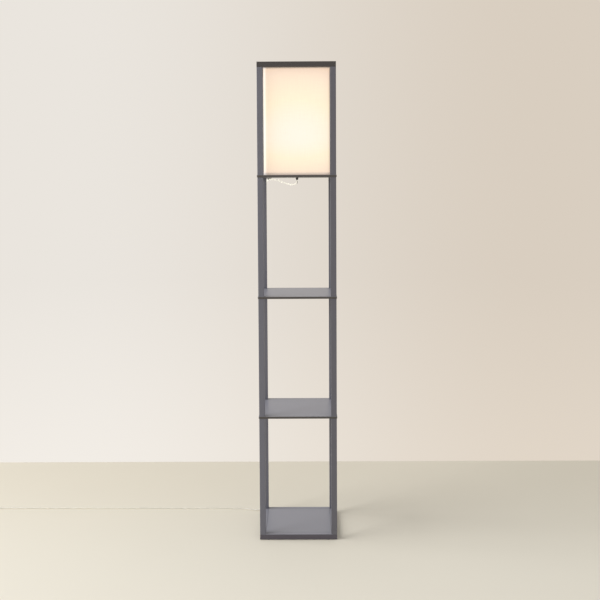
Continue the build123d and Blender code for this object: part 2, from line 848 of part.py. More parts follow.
def plug(place, way):
    """Plug with a grooved strain relief and two blades, from the coil's end."""
    levels = []
    step = relief_length / (2 * relief_grooves + 1)
    slope = (relief_root_radius - relief_tip_radius) / relief_length
    for k in range(2 * relief_grooves + 1):
        low = k * step
        depth = relief_groove_depth if k % 2 else 0
        levels.append((relief_tip_radius + slope * low - depth, low))
        levels.append((relief_tip_radius + slope * (low + step) - depth, low + step))
    relief = turned([(0, 0)] + levels + [(0, relief_length)], sides=thin_sides)
    height = 2 * coil_high_z - cord_floor_gap
    body = extrude(RectangleRounded(plug_width, height, plug_corner_radius), plug_length)
    body_end = relief_length + plug_length
    blades = []
    for side in (-1, 1):
        x = side * blade_spacing / 2
        half = blade_thickness / 2
        span_y = (-blade_width / 2, blade_width / 2)
        blades.append(block((x - half, x + half), span_y, (body_end, body_end + blade_length)))
    facing = Plane(origin=place, x_dir=(way.Y, -way.X, 0), z_dir=way)
    return {
        "plug_body": facing * (relief + Pos(0, 0, relief_length) * body),
        "plug_blades": facing * Compound(children=blades),
    }


def tie():
    """Flat band round the coil's bundle of turns, on the side nearest the lamp."""
    passes = [coil_start_radius - coil_pitch * (turn - 0.25) for turn in (1, 2)]
    reach = cord_radius + tie_clearance
    inner_x = passes[0] - passes[1] + 2 * reach
    inner_z = coil_pitch + 2 * reach
    middle = (sum(passes) / 2, (coil_low_z + coil_high_z) / 2)
    clip_share = 2 - 2**0.5  # of a corner's radius, for a flat that touches the same circle
    inner = Rectangle(inner_x, inner_z)
    inner = chamfer(inner.vertices(), reach * clip_share)
    outer = Rectangle(inner_x + 2 * tie_wall, inner_z + 2 * tie_wall)
    outer = chamfer(outer.vertices(), (reach + tie_wall) * clip_share)
    band = extrude(outer - inner, tie_width / 2, both=True)
    return Pos(middle[0], 0, middle[1]) * Rot(90, 0, 0) * band


def clip(place):
    """A cord clip on its seat: flat base and an open ring, seen along the cord."""
    inner = cord_radius + clip_clearance
    outer = inner + clip_wall
    base_height = clip_offset - inner
    lowest = -clip_offset
    half = clip_length / 2
    ring = tube(outer, inner, 0, 0, -half, half, wire_sides)
    ring -= block((-clip_mouth / 2, clip_mouth / 2), (0, outer), (-half, half))
    foot = block((-clip_width / 2, clip_width / 2), (lowest, lowest + base_height), (-half, half))
    waist = block((-outer, outer), (lowest, 0), (-half, half))
    waist -= rod(inner, 0, 0, -half, half, wire_sides)
    return place * (ring + (foot + waist))


def cord():
    """Bushing, clips, lead, coil, tie and plug."""
    bore = cord_radius + bushing_clearance
    bushing = turned(
        [
            (bore, -bushing_nose_height),
            (bushing_tip_radius, -bushing_nose_height),
            (bushing_flange_radius, 0),
            (nipple_bore_radius - bushing_clearance, 0),
            (nipple_bore_radius - bushing_clearance, bushing_length),
            (bore, bushing_length),
        ],
        nipple_bottom,
        thin_sides,
    )
    points = cord_route()
    radii = fillet_radii(points)
    print("cord radii", [round(radius, 1) for radius in radii])
    lead_path = FilletPolyline(*points, radius=radii)
    lead = mitred_wire(stations(lead_path), cord_radius)
    lead_volume = lead_path.length * RegularPolygon(cord_radius, wire_sides).area
    print("lead length", round(lead_path.length, 1), "volume ratio", lead.volume / lead_volume)
    edges, places = coil_path()
    coil_length = sum(edge.length for edge in edges)
    print("coil length", round(coil_length, 1), "least gap", round(least_gap(edges), 2))
    section = RegularPolygon(cord_radius, wire_sides)
    coil = tube_along(Wire(edges), section)
    print("coil volume ratio", coil.volume / (coil_length * section.area))
    # The coil is placed so that its first straight end carries on from the lead
    start, way = edges[0] @ 0, edges[0] % 0
    heading = (points[-1] - points[-2]).normalized()
    swing = degrees(atan(heading.Y / heading.X) - atan(way.Y / way.X))
    spun = Rot(0, 0, swing)
    shift = points[-1] - (spun * Pos(start.X, start.Y, start.Z)).position
    place = Pos(shift.X, shift.Y, 0) * spun
    last, last_way = edges[-1] @ 1, edges[-1] % 1
    nodes = {
        "cord_bushing": bushing,
        "cord_inner": rod(cord_radius, 0, 0, cord_mouth, nipple_top + cord_in_cap, wire_sides),
        "cord_lead": lead,
        "cord_coil": place * coil,
        "cord_tie": place * tie(),
    }
    nodes.update({name: place * shape for name, shape in plug(last, last_way).items()})
    post_seat = Pos(-post_middle, cord_back_y, 0)
    clips = [clip(post_seat * Pos(0, 0, post_clip_top - k * post_clip_pitch)) for k in range(post_clips)]
    under_deck = Pos(deck_clip_x, deck_clip_y, deck_z - clip_offset) * Rot(90, 0, 0)
    clips.append(clip(under_deck * Rot(0, 0, 180)))
    nodes["cord_clips"] = Compound(children=clips)
    return nodes


def all_nodes():
    """Every node by its name."""
    nodes = {}
    nodes.update(base())
    nodes.update(posts())
    nodes["lower_shelf"] = plate(lower_shelf_z)
    nodes["middle_shelf"] = plate(middle_shelf_z)
    nodes["lamp_deck"] = deck()
    nodes.update(studs())
    nodes.update(top_frame())
    nodes.update(shade())
    nodes.update(holder())
    nodes.update(bulb())
    nodes.update(pull_switch())
    nodes.update(cord())
    return nodes


os.makedirs("parts", exist_ok=True)
for name, shape in all_nodes().items():
    export_step(shape, f"parts/{name}.step")
print("height", frame_top)
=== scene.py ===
"""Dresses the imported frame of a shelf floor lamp: finishes, fabric shade, glowing bulb and cord.

Metres, in the frame's own axes: the origin is on the floor under the base, +Z is up and the
front faces -Y.
"""

from __future__ import annotations

import logging
import math
from dataclasses import dataclass, field
from enum import Enum
from typing import Callable, Sequence

import bmesh
import bpy
from bmesh.types import BMEdge, BMFace
from bpy.types import ID, Material, Node, NodeSocket, NodeTree, Object
from mathutils import Matrix, Vector

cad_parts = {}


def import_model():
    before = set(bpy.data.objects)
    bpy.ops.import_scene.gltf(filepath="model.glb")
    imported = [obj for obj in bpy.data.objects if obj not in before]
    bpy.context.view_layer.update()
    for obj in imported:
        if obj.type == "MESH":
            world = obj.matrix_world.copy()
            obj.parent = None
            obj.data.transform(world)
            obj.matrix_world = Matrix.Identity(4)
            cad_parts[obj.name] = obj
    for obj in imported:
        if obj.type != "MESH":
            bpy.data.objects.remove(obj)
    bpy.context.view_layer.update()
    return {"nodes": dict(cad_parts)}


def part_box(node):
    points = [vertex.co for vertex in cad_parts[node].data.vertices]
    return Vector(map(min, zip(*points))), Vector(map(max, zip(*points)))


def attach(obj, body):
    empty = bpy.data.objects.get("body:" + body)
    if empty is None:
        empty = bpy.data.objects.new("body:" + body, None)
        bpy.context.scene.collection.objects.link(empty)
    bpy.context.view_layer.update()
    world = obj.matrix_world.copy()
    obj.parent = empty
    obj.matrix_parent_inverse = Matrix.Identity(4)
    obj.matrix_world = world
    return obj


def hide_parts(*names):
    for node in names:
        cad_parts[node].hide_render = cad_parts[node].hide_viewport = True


log = logging.getLogger("shelf_floor_lamp")

MM = 0.001
# What is less than this apart counts as level or touching
HAIR = 0.01 * MM
SMOOTH_ANGLE = math.radians(40)
STAND = "stand"
PULL_SWITCH = "pull_switch"
TIERS = ("lower", "middle", "upper", "head")

Colour = tuple[float, float, float]
Point = tuple[float, float, float]


def screen_colour(red: int, green: int, blue: int) -> Colour:
    """Turns a colour as a screen shows it into the linear values that shaders take.

    Args:
        red: Red, from 0 to 255.
        green: Green, from 0 to 255.
        blue: Blue, from 0 to 255.

    Returns:
        The three linear values, from 0 to 1.
    """

    def linear(value: int) -> float:
        """One of the three values, made linear."""
        share = value / 255
        return share / 12.92 if share <= 0.04045 else ((share + 0.055) / 1.055) ** 2.4

    return (linear(red), linear(green), linear(blue))


# ---------------- shader nodes


class TreeBuilder:
    """Adds nodes and links to a shader node tree."""

    def __init__(self, tree: NodeTree) -> None:
        """Takes the tree that it builds in."""
        self.tree = tree

    def node(self, kind: str, **settings: object) -> Node:
        """Adds a node.

        Args:
            kind: The node's type name.
            settings: Attributes to set on it.

        Returns:
            The new node.
        """
        made = self.tree.nodes.new(kind)
        for name, value in settings.items():
            setattr(made, name, value)
        return made

    def feed(self, socket: NodeSocket, value: object) -> None:
        """Feeds an input.

        Args:
            socket: The input.
            value: The socket to link it to, or a value of its own.
        """
        if isinstance(value, NodeSocket):
            self.tree.links.new(value, socket)
        else:
            socket.default_value = value

    def fill(self, node: Node, *values: object, **named: object) -> NodeSocket:
        """Feeds several inputs of a node.

        Args:
            node: The node.
            values: Sockets or values for its first inputs, in order.
            named: Sockets or values by input, with _ for a space.

        Returns:
            The node's first output.
        """
        for socket, value in zip(node.inputs, values):
            self.feed(socket, value)
        for name, value in named.items():
            self.feed(node.inputs[name.replace("_", " ")], value)
        return node.outputs[0]

    def maths(self, operation: str, *values: object) -> NodeSocket:
        """Adds a sum of numbers."""
        return self.fill(self.node("ShaderNodeMath", operation=operation), *values)

    def vectors(self, operation: str, *values: object, **named: object) -> NodeSocket:
        """Adds a sum of vectors or colours."""
        return self.fill(self.node("ShaderNodeVectorMath", operation=operation), *values, **named)

    def axes(self, source: NodeSocket) -> list[NodeSocket]:
        """The X, Y and Z of a place or direction."""
        return list(self.fill(self.node("ShaderNodeSeparateXYZ"), source).node.outputs)

    def mapped(self, source: NodeSocket, scale: Point) -> NodeSocket:
        """A coordinate stretched along each axis."""
        return self.fill(self.node("ShaderNodeMapping"), Vector=source, Scale=scale)

    def noise(
        self, place: NodeSocket, scale: object, detail: float = 2.0, roughness: float = 0.5
    ) -> NodeSocket:
        """A noise along a coordinate, of so many in a metre and so many finer layers."""
        made = self.node("ShaderNodeTexNoise")
        return self.fill(made, Vector=place, Scale=scale, Detail=detail, Roughness=roughness)

    def share(
        self, source: NodeSocket, start: float, end: float, low: float = 0.0,
        high: float = 1.0, smooth: bool = False,
    ) -> NodeSocket:
        """Measures how far a value lies between two others.

        Args:
            source: The value's socket.
            start: The value that gives the low result.
            end: The value that gives the high result.
            low: The result up to the start.
            high: The result from the end on.
            smooth: Whether the ends ease in and out.

        Returns:
            The result's socket.
        """
        way = "SMOOTHSTEP" if smooth else "LINEAR"
        made = self.node("ShaderNodeMapRange", interpolation_type=way)
        return self.fill(made, source, start, end, low, high)

    def blended(self, first: Colour, second: Colour, share: NodeSocket) -> NodeSocket:
        """Mixes two colours.

        Args:
            first: The colour at a share of 0.
            second: The colour at a share of 1.
            share: The socket that gives the share.

        Returns:
            The colour's socket.
        """
        made = self.node("ShaderNodeMix", data_type="RGBA")
        self.fill(made, A=(*first, 1), B=(*second, 1), Factor=share)
        return made.outputs["Result"]


class Kind(Enum):
    """Kinds of socket on a shader node group."""

    NUMBER = "NodeSocketFloat"
    VECTOR = "NodeSocketVector"
    COLOUR = "NodeSocketColor"


class GroupBuilder(TreeBuilder):
    """Builds a shader node group with named inputs and outputs."""

    def __init__(self, name: str) -> None:
        """Starts an empty group.

        Args:
            name: The group's name.
        """
        super().__init__(bpy.data.node_groups.new(name, "ShaderNodeTree"))
        self.inputs = self.node("NodeGroupInput")
        self.outputs = self.node("NodeGroupOutput")

    def takes(self, name: str, kind: Kind, default: object = None) -> NodeSocket:
        """Adds an input.

        Args:
            name: The input's name.
            kind: The input's kind.
            default: The value it has when nothing is linked to it.

        Returns:
            The socket that brings it into the group.
        """
        socket = self.tree.interface.new_socket(name, in_out="INPUT", socket_type=kind.value)
        if default is not None:
            socket.default_value = default
        return self.inputs.outputs[name]

    def gives(self, name: str, kind: Kind, source: NodeSocket) -> None:
        """Adds an output of a name and kind, and feeds it."""
        self.tree.interface.new_socket(name, in_out="OUTPUT", socket_type=kind.value)
        self.feed(self.outputs.inputs[name], source)


def tone_group() -> NodeTree:
    """Slow mottling of a colour and its roughness, as hand-finished surfaces have.

    Returns:
        The node group.
    """
    made = GroupBuilder("surface_tone")
    place = made.takes("Vector", Kind.VECTOR)
    colour = made.takes("Colour", Kind.COLOUR, (0.5, 0.5, 0.5, 1))
    scale = made.takes("Scale", Kind.NUMBER, 12.0)
    mottle = made.takes("Mottle", Kind.NUMBER, 0.06)
    roughness = made.takes("Roughness", Kind.NUMBER, 0.5)
    smear = made.takes("Smear", Kind.NUMBER, 0.1)
    swing = made.maths("SUBTRACT", made.noise(place, scale, detail=4.0), 0.5)
    level = made.maths("MULTIPLY_ADD", made.maths("MULTIPLY", swing, mottle), 2.0, 1.0)
    made.gives("Colour", Kind.COLOUR, made.vectors("SCALE", colour, Scale=level))
    rough = made.maths("ADD", made.maths("MULTIPLY", swing, smear), roughness)
    made.gives("Roughness", Kind.NUMBER, rough)
    return made.tree


def grain_group() -> NodeTree:
    """Wood grain that still shows as fine relief through a coat of paint.

    Returns:
        The node group.
    """
    made = GroupBuilder("painted_grain")
    place = made.takes("Vector", Kind.VECTOR)
    fineness = made.takes("Fineness", Kind.NUMBER, 220.0)
    lines = made.noise(place, fineness, detail=6.0, roughness=0.6)
    peel = made.maths("MULTIPLY", made.noise(place, scale=900.0), 0.25)
    made.gives("Height", Kind.NUMBER, made.maths("ADD", lines, peel))
    return made.tree


def weave_group() -> NodeTree:
    """Plain weave with slubs: warp and weft threads over a flat cloth's own measure.

    Returns:
        The node group.
    """
    made = GroupBuilder("plain_weave")
    place = made.takes("Vector", Kind.VECTOR)
    threads = made.takes("Threads", Kind.NUMBER, 1500.0)
    slubs = made.takes("Slubs", Kind.NUMBER, 0.5)
    ways = [made.maths("MULTIPLY", axis, threads) for axis in made.axes(place)[:2]]
    warp, weft = [made.maths("MULTIPLY", made.maths("SINE", way), 0.5) for way in ways]
    over = [made.maths("SINE", made.maths("MULTIPLY", way, 0.5)) for way in ways]
    woven = made.maths("ADD", made.maths("ADD", warp, weft), made.maths("MULTIPLY", *over))
    streaks = [
        made.noise(made.mapped(place, stretch), scale=1.0, detail=3.0)
        for stretch in ((18, 700, 1), (700, 18, 1))
    ]
    slub = made.maths("SUBTRACT", made.maths("ADD", *streaks), 1.0)
    raised = made.maths("MULTIPLY", slub, slubs)
    height = made.maths("ADD", made.maths("MULTIPLY", woven, 0.3), raised)
    made.gives("Height", Kind.NUMBER, height)
    made.gives("Threads", Kind.NUMBER, slub)
    return made.tree


# ---------------- finishes


class Grain(Enum):
    """The way that a board's grain runs, as the stretch of its pattern."""

    ALONG_X = (0.06, 1.0, 1.0)
    ALONG_Y = (1.0, 0.06, 1.0)
    ALONG_Z = (1.0, 1.0, 0.06)


class MaterialBuilder(TreeBuilder):
    """Builds one material round a Principled shader."""

    def __init__(self, name: str) -> None:
        """Starts a material with its shader and coordinates.

        Args:
            name: The material's name.
        """
        self.material = bpy.data.materials.new(name)
        self.material.use_nodes = True
        super().__init__(self.material.node_tree)
        self.shader = self.tree.nodes["Principled BSDF"]
        coordinates = self.node("ShaderNodeTexCoord")
        self.place = coordinates.outputs["Object"]
        self.measure = coordinates.outputs["UV"]

    def group(self, name: str, build: Callable[[], NodeTree], **values: object) -> Node:
        """Places a node group, which is built once and then reused.

        Args:
            name: The group's name.
            build: The function that makes the group.
            values: Sockets or values for its inputs.

        Returns:
            The group's node.
        """
        made = self.node("ShaderNodeGroup")
        made.node_tree = bpy.data.node_groups.get(name) or build()
        return self.fill(made, **values).node

    def tone(
        self, colour: Colour, scale: float, mottle: float, roughness: float, smear: float
    ) -> NodeSocket:
        """Feeds the shader's colour and roughness with slow mottling.

        Args:
            colour: The base colour.
            scale: The size of the clouds, as their count in a metre.
            mottle: How far the colour swings.
            roughness: The mean roughness.
            smear: How far the roughness swings.

        Returns:
            The input that takes the base colour.
        """
        made = self.group("surface_tone", tone_group, Vector=self.place, Colour=(*colour, 1),
                          Scale=scale, Mottle=mottle, Roughness=roughness, Smear=smear)
        base, rough = made.outputs
        self.fill(self.shader, Base_Color=base, Roughness=rough)
        return made.inputs["Colour"]

    def relief(self, height: NodeSocket, depth: float, strength: float) -> None:
        """Feeds the shader's normal with a bump.

        Args:
            height: The socket that gives the height.
            depth: The relief's depth in metres.
            strength: How strongly it shows.
        """
        bump = self.node("ShaderNodeBump")
        normal = self.fill(bump, Height=height, Distance=depth, Strength=strength)
        self.fill(self.shader, Normal=normal)

    def grained(self, grain: Grain, fineness: float, depth: float, strength: float) -> None:
        """Gives the surface a wood's grain as relief.

        Args:
            grain: The way that it runs.
            fineness: The count of its lines in a metre across.
            depth: The relief's depth in metres.
            strength: How strongly it shows.
        """
        place = self.mapped(self.place, grain.value)
        made = self.group("painted_grain", grain_group, Vector=place, Fineness=fineness)
        self.relief(made.outputs["Height"], depth, strength)

    def facing(self) -> list[NodeSocket]:
        """The X, Y and Z of the way that the surface faces."""
        return self.axes(self.node("ShaderNodeNewGeometry").outputs["True Normal"])

    def shine(self, source: NodeSocket | Sequence[float], strength: float = 1.0) -> None:
        """Gives the surface light of its own, in a colour and strength."""
        self.fill(self.shader, Emission_Color=source, Emission_Strength=strength)


@dataclass(frozen=True)
class Finish:
    """What every finish has: a name, and a way to make its material."""

    name: str

    def build(self) -> Material:
        """Makes the material.

        Returns:
            The material.
        """
        made = MaterialBuilder(self.name)
        self.apply(made)
        return made.material

    def apply(self, made: MaterialBuilder) -> None:
        """Sets up the material's nodes, as each finish does in its own way."""
        raise NotImplementedError(self.name)


@dataclass(frozen=True)
class PaintedWood(Finish):
    """Satin paint over close-grained wood."""

    colour: Colour
    grain: Grain
    roughness: float = 0.42
    edge_colour: Colour | None = None
    top_sheen_from: float = 0.3
    top_sheen_full: float = 0.8

    def apply(self, made: MaterialBuilder) -> None:
        """Paints the wood, sides in any edge colour and tops paler with a painted sheen.

        Args:
            made: The material.
        """
        base = made.tone(self.colour, scale=9.0, mottle=0.05, roughness=self.roughness, smear=0.1)
        if self.edge_colour:
            # Painted sheen and top light: faces that turn up take the paler colour, the sides the
            # edge colour
            _, _, up = made.facing()
            face = made.share(up, self.top_sheen_from, self.top_sheen_full)
            made.feed(base, made.blended(self.edge_colour, self.colour, face))
        made.grained(self.grain, fineness=260.0, depth=0.04 * MM, strength=0.4)


@dataclass(frozen=True)
class BareWood(Finish):
    """Unpainted beech, for dowels."""

    colour: Colour = screen_colour(205, 172, 128)

    def apply(self, made: MaterialBuilder) -> None:
        """Tones the wood and gives it its grain."""
        made.tone(self.colour, scale=60.0, mottle=0.15, roughness=0.6, smear=0.1)
        made.grained(Grain.ALONG_Z, fineness=500.0, depth=0.1 * MM, strength=0.6)


@dataclass(frozen=True)
class TurnedMetal(Finish):
    """Plated or drawn metal with fine tool marks."""

    colour: Colour
    roughness: float

    def apply(self, made: MaterialBuilder) -> None:
        """Plates the metal and marks it.

        Args:
            made: The material.
        """
        made.tone(self.colour, scale=80.0, mottle=0.06, roughness=self.roughness, smear=0.15)
        made.fill(made.shader, Metallic=1.0)
        made.relief(made.noise(made.place, scale=2500.0), depth=0.03 * MM, strength=0.5)


@dataclass(frozen=True)
class MouldedPlastic(Finish):
    """Moulded plastic with a fine spark-eroded surface."""

    colour: Colour
    roughness: float = 0.45

    def apply(self, made: MaterialBuilder) -> None:
        """Tones the plastic and gives it its texture."""
        made.tone(self.colour, scale=40.0, mottle=0.05, roughness=self.roughness, smear=0.1)
        made.relief(made.noise(made.place, scale=3000.0), depth=0.04 * MM, strength=0.6)


@dataclass(frozen=True)
class ClearVinyl(Finish):
    """Clear cord vinyl, milky over the pale wires inside it, with a painted glow near the lamp."""

    colour: Colour = screen_colour(248, 246, 240)
    transmission: float = 0.6
    roughness: float = 0.35
    density: float = 1.15
    lit_from: float = 1.09
    lit_full: float = 1.19
    painted_lamp_glow: Colour = (0.24, 0.235, 0.21)

    def apply(self, made: MaterialBuilder) -> None:
        """Clears the vinyl and paints a glow on it where it is near the lamp.

        Args:
            made: The material.
        """
        made.tone(self.colour, scale=50.0, mottle=0.04, roughness=self.roughness, smear=0.06)
        made.fill(made.shader, Transmission_Weight=self.transmission, IOR=self.density)
        # Painted glow: the cord shines of itself where it runs near the lamp's height
        _, _, height = made.axes(made.place)
        near = made.share(height, self.lit_from, self.lit_full)
        made.shine(made.blended((0, 0, 0), self.painted_lamp_glow, near))
        made.relief(made.noise(made.place, scale=700.0), depth=0.03 * MM, strength=0.3)


@dataclass(frozen=True)
class Felt(Finish):
    """Pressed felt under the feet."""

    colour: Colour = screen_colour(48, 47, 46)

    def apply(self, made: MaterialBuilder) -> None:
        """Tones the felt and roughs it up."""
        made.tone(self.colour, scale=300.0, mottle=0.3, roughness=0.95, smear=0.05)
        made.relief(made.noise(made.place, scale=1800.0, detail=5.0), depth=0.3 * MM, strength=0.9)


@dataclass(frozen=True)
class LitCloth(Finish):
    """Pale shade cloth with the bulb's glow through it, warmer away from the bulb."""

    colour: Colour
    glow: tuple[tuple[float, Colour], ...]
    bulb_height: float = 1.357
    low_stretch: float = 0.66
    side_stretch: float = 0.8
    reach: float = 0.32
    # The corner that turns to the window takes a painted highlight of window light
    painted_window_highlight: Colour = (0.20, 0.24, 0.26)
    corner_across: tuple[float, float] = (-0.0960, -0.1040)
    corner_deep: tuple[float, float] = (0.1000, 0.1045)
    corner_turned: tuple[float, float] = (0.1, -0.1)
    threads: float = 5200.0
    slubs: float = 0.5
    thin_places: float = 0.06

    def apply(self, made: MaterialBuilder) -> None:
        """Weaves the cloth and lights it.

        Args:
            made: The material.
        """
        weave = made.group(
            "plain_weave", weave_group, Vector=made.measure, Threads=self.threads, Slubs=self.slubs
        )
        made.relief(weave.outputs["Height"], depth=0.08 * MM, strength=0.4)
        made.fill(made.shader, Base_Color=(*self.colour, 1), Roughness=0.85,
                  Specular_IOR_Level=0.2, Sheen_Weight=0.15)
        light = (1 - self.thin_places, 1 + self.thin_places)
        thin = made.share(weave.outputs["Threads"], -0.5, 0.5, *light)
        cloudy = made.vectors("SCALE", self._glow(made), Scale=thin)
        # Painted highlight: window light added to the glow on the corner that turns to the window
        made.shine(made.vectors("MULTIPLY_ADD", self._highlight_corner(made), self.painted_window_highlight, cloudy))

    def _highlight_corner(self, made: MaterialBuilder) -> NodeSocket:
        """Finds the outside of a corner that turns to the window, which takes a painted highlight.

        Args:
            made: The material.

        Returns:
            The socket that gives how far a place lies on it.
        """
        x, y, _ = made.axes(made.place)
        facing_x, _, _ = made.facing()
        across = made.share(x, *self.corner_across)
        deep = made.share(made.maths("ABSOLUTE", y), *self.corner_deep)
        turned = made.share(facing_x, *self.corner_turned)
        return made.maths("MULTIPLY", made.maths("MULTIPLY", across, deep), turned)

    def _glow(self, made: MaterialBuilder) -> NodeSocket:
        """Colours the glow by the distance from the bulb, which shines less past its own body.

        Args:
            made: The material.

        Returns:
            The socket that gives the colour.
        """
        bulb = (0, 0, self.bulb_height)
        x, y, z = made.axes(made.vectors("SUBTRACT", made.place, bulb))
        beside = [made.maths("MULTIPLY", axis, self.side_stretch) for axis in (x, y)]
        below = made.maths("MINIMUM", z, 0.0)
        deeper = made.maths("MULTIPLY_ADD", below, self.low_stretch, z)
        joined = made.fill(made.node("ShaderNodeCombineXYZ"), *beside, deeper)
        away = made.vectors("LENGTH", joined).node.outputs["Value"]
        ramp = made.node("ShaderNodeValToRGB")
        stops = ramp.color_ramp.elements
        while len(stops) < len(self.glow):
            stops.new(1.0)
        for stop, (distance, colour) in zip(stops, self.glow):
            stop.position = distance / self.reach
            stop.color = (*colour, 1)
        return made.fill(ramp, made.maths("DIVIDE", away, self.reach))


@dataclass(frozen=True)
class Frosted(Finish):
    """The bulb's frosted globe, lit from inside."""

    colour: Colour = screen_colour(245, 242, 235)
    glow: Colour = screen_colour(255, 240, 205)
    strength: float = 4.0

    def apply(self, made: MaterialBuilder) -> None:
        """Frosts the globe and lights it."""
        made.tone(self.colour, scale=60.0, mottle=0.03, roughness=0.5, smear=0.05)
        made.shine((*self.glow, 1), self.strength)


@dataclass(frozen=True)
class PlainFloor(Finish):
    """Plain matt floor with painted shade, a little darker towards the wall."""

    near: Colour = screen_colour(224, 218, 204)
    far: Colour = screen_colour(216, 208, 191)
    darkens_from: float = -0.6
    darkens_to: float = 0.7

    def apply(self, made: MaterialBuilder) -> None:
        """Tones the floor and paints it darker with its depth.

        Args:
            made: The material.
        """
        base = made.tone(self.near, scale=3.0, mottle=0.01, roughness=0.75, smear=0.05)
        _, depth, _ = made.axes(made.place)
        # Painted shade: the floor darkens towards the wall
        back = made.share(depth, self.darkens_from, self.darkens_to, smooth=True)
        made.feed(base, made.blended(self.near, self.far, back))


POST_PAINT = screen_colour(105, 105, 115)
# Painted shade: the front right posts take a darker copy of the post paint, as less light falls on
# that side
PAINTED_SHADE_POST_PAINT = screen_colour(95, 94, 102)
RAIL_PAINT = screen_colour(83, 79, 88)
# Top rails: the frame's paint, darkened as painted shade where less light falls
TOP_RAIL_PAINT_AND_SHADE = screen_colour(64, 60, 60)
# Shelf and rail tops: the paint's tone, lightened by a painted sheen and painted light from above
TOP_FACE_PAINT_AND_SHEEN = screen_colour(133, 133, 142)
EDGE_PAINT = screen_colour(75, 71, 69)

CLOTH_GLOW = (
    (0.088, (0.84, 0.72, 0.62)),
    (0.150, (0.82, 0.69, 0.50)),
    (0.190, (0.805, 0.645, 0.48)),
    (0.235, (0.78, 0.59, 0.465)),
    (0.270, (0.775, 0.56, 0.39)),
)
HEM_GLOW = ((0.15, (0.36, 0.29, 0.25)), (0.28, (0.32, 0.25, 0.205)))

FINISHES = {
    "post": PaintedWood("post_paint", POST_PAINT, Grain.ALONG_Z),
    "shaded_post": PaintedWood("shaded_post_paint", PAINTED_SHADE_POST_PAINT, Grain.ALONG_Z),
    "rail_x": PaintedWood("rail_paint_across", TOP_FACE_PAINT_AND_SHEEN, Grain.ALONG_X, edge_colour=RAIL_PAINT),
    "rail_y": PaintedWood("rail_paint_deep", TOP_FACE_PAINT_AND_SHEEN, Grain.ALONG_Y, edge_colour=RAIL_PAINT),
    # Top rails in the darker paint, which is painted shade
    "top_x": PaintedWood("top_paint_across", TOP_RAIL_PAINT_AND_SHADE, Grain.ALONG_X),
    "top_y": PaintedWood("top_paint_deep", TOP_RAIL_PAINT_AND_SHADE, Grain.ALONG_Y),
    "shelf": PaintedWood("shelf_paint", TOP_FACE_PAINT_AND_SHEEN, Grain.ALONG_X, 0.36, EDGE_PAINT),
    "dowel": BareWood("beech"),
    "steel": TurnedMetal("zinc_steel", (0.56, 0.57, 0.58), 0.32),
    "brass": TurnedMetal("brass", (0.70, 0.52, 0.24), 0.28),
    "bronze": TurnedMetal("dark_bronze", (0.030, 0.025, 0.022), 0.45),
    "nickel": TurnedMetal("nickel", (0.62, 0.60, 0.57), 0.22),
    "dark": MouldedPlastic("dark_plastic", screen_colour(44, 42, 41)),
    "white": MouldedPlastic("white_plastic", screen_colour(236, 234, 228), 0.35),
    "vinyl": ClearVinyl("clear_vinyl"),
    "felt": Felt("felt"),
    "cloth": LitCloth("lit_cloth", screen_colour(149, 144, 134), CLOTH_GLOW),
    "hem": LitCloth("hem_cloth", screen_colour(196, 184, 170), HEM_GLOW),
    "globe": Frosted("frosted_globe"),
    "floor": PlainFloor("floor_paint"),
}


@dataclass
class PaintShop:
    """Makes each finish once and puts it on pieces."""

    made: dict[str, Material] = field(default_factory=dict)

    def coat(self, piece: Object, name: str) -> None:
        """Puts a finish on a piece.

        Args:
            piece: The piece.
            name: The finish's name in FINISHES.
        """
        if name not in self.made:
            self.made[name] = FINISHES[name].build()
        piece.data.materials.clear()
        piece.data.materials.append(self.made[name])
        log.info("%s has the finish %s", piece.name, name)


# ---------------- modelling helpers


def start_fresh() -> None:
    """Leaves edit mode and deselects everything."""
    if bpy.context.object and bpy.context.object.mode != "OBJECT":
        bpy.ops.object.mode_set(mode="OBJECT")
    bpy.ops.object.select_all(action="DESELECT")


def fix_place() -> None:
    """Puts the place, turn and scale of what is selected into its mesh."""
    bpy.ops.object.transform_apply(location=True, rotation=True, scale=True)


def start_from(primitive: Callable[..., set], **settings: object) -> Object:
    """Adds a primitive to start a piece from, selected on its own.

    Args:
        primitive: The operator that adds it.
        settings: Its size and place.

    Returns:
        The new piece.
    """
    start_fresh()
    primitive(**settings)
    return bpy.context.object


def start_ball(radius: float, around: int, rings: int, middle: Point) -> Object:
    """Starts a piece from a ball, with so many faces round it and rings up it."""
    ball = bpy.ops.mesh.primitive_uv_sphere_add
    return start_from(ball, segments=around, ring_count=rings, radius=radius, location=middle)


def start_rod(radius: float, sides: int, length: float, middle: Point) -> Object:
    """Starts a piece from an upright rod."""
    rod = bpy.ops.mesh.primitive_cylinder_add
    return start_from(rod, vertices=sides, radius=radius, depth=length, location=middle)


def add_to_scene(name: str, data: ID) -> Object:
    """Puts a camera, lamp or curve into the scene.

    Args:
        name: The object's name.
        data: The camera, lamp or curve.

    Returns:
        The object.
    """
    made = bpy.data.objects.new(name, data)
    bpy.context.collection.objects.link(made)
    return made


class Part(Enum):
    """The parts of a mesh that edit mode picks."""

    FACES = "FACE"
    EDGES = "EDGE"


def pick(kind: Part, wanted: Callable[[BMFace | BMEdge], bool]) -> None:
    """Selects the parts of the mesh in edit mode for which a test holds.

    Args:
        kind: Whether faces or edges are picked.
        wanted: The test.
    """
    bpy.ops.mesh.select_mode(type=kind.value)
    bpy.ops.mesh.select_all(action="DESELECT")
    mesh = bmesh.from_edit_mesh(bpy.context.object.data)
    for part in mesh.faces if kind is Part.FACES else mesh.edges:
        if wanted(part):
            part.select_set(True)
    bmesh.update_edit_mesh(bpy.context.object.data)


def rise(edge: BMEdge) -> float:
    """How far an edge rises from one end to the other."""
    return abs(edge.verts[0].co.z - edge.verts[1].co.z)


